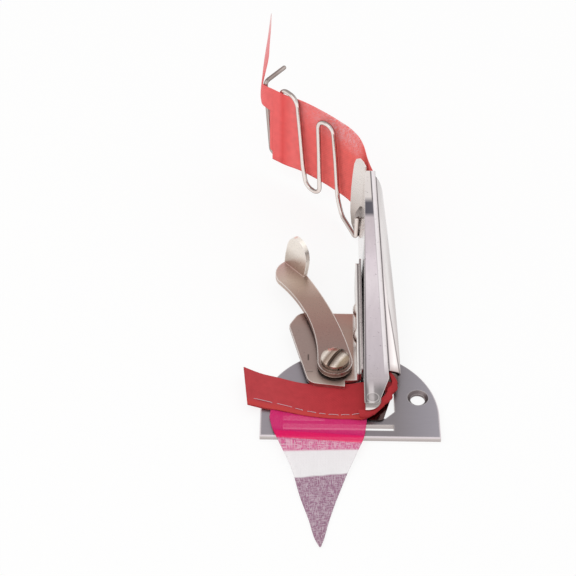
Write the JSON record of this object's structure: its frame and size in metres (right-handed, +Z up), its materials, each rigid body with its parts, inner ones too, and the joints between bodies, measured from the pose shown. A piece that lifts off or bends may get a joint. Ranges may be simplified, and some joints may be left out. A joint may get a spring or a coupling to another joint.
{
  "type": "right-angle tape binder",
  "caption": "Long tapered sheet-metal folder on a D-shaped needle plate: it folds a tape from a wire guide at right angles round a cloth edge.",
  "frame": {"origin": "midway between the plate's two fixing holes, on the plate's underside", "axes": "+Z up out of the plate, +X along the plate's straight front edge towards the folder's nose, +Y away from the operator along the folder"},
  "size_m": [0.0743, 0.264, 0.0484],
  "materials": {
    "plate_steel": "satin ground steel with bright bevels",
    "nickel": "nickel plated, polished",
    "bracket_nickel": "nickel plated, slightly dull",
    "lever_nickel": "nickel plated, warm and slightly dull",
    "spring_steel": "tempered spring steel",
    "stainless": "polished stainless sheet",
    "bright_wire": "bright drawn wire",
    "solder": "dull grey solder",
    "tape_cotton": "coral red woven bias tape, matt",
    "pennant_cloth": "thin open weave in magenta, pink, white and mauve"
  },
  "bodies": {
    "plate": {"needle_plate": "plate_steel", "pivot_screw": "nickel", "pivot_spacer": "nickel", "flat_washer": "nickel", "lock_washer": "spring_steel"},
    "binder": {"bracket": "bracket_nickel", "wave_washer": "spring_steel", "backing_strip": "bracket_nickel", "flange_rivets": "nickel", "folder_cover": "stainless", "outer_scroll": "stainless", "inner_former": "stainless", "entry_cheek": "stainless", "wire_guide": "bright_wire", "solder_joint": "solder", "binding_tape": "tape_cotton", "pennant": "pennant_cloth"},
    "lever": {"release_lever": "lever_nickel"}
  },
  "joints": [
    {"name": "binder_swing", "type": "hinge", "parent": "plate", "child": "binder", "pos_m": [-0.0055, 0.013, 0], "axis": [0, 0, 1], "range_deg": [0, 15]},
    {"name": "lever_turn", "type": "hinge", "parent": "binder", "child": "lever", "pos_m": [-0.0055, 0.013, 0], "axis": [0, 0, 1], "range_deg": [-8, 40]}
  ]
}
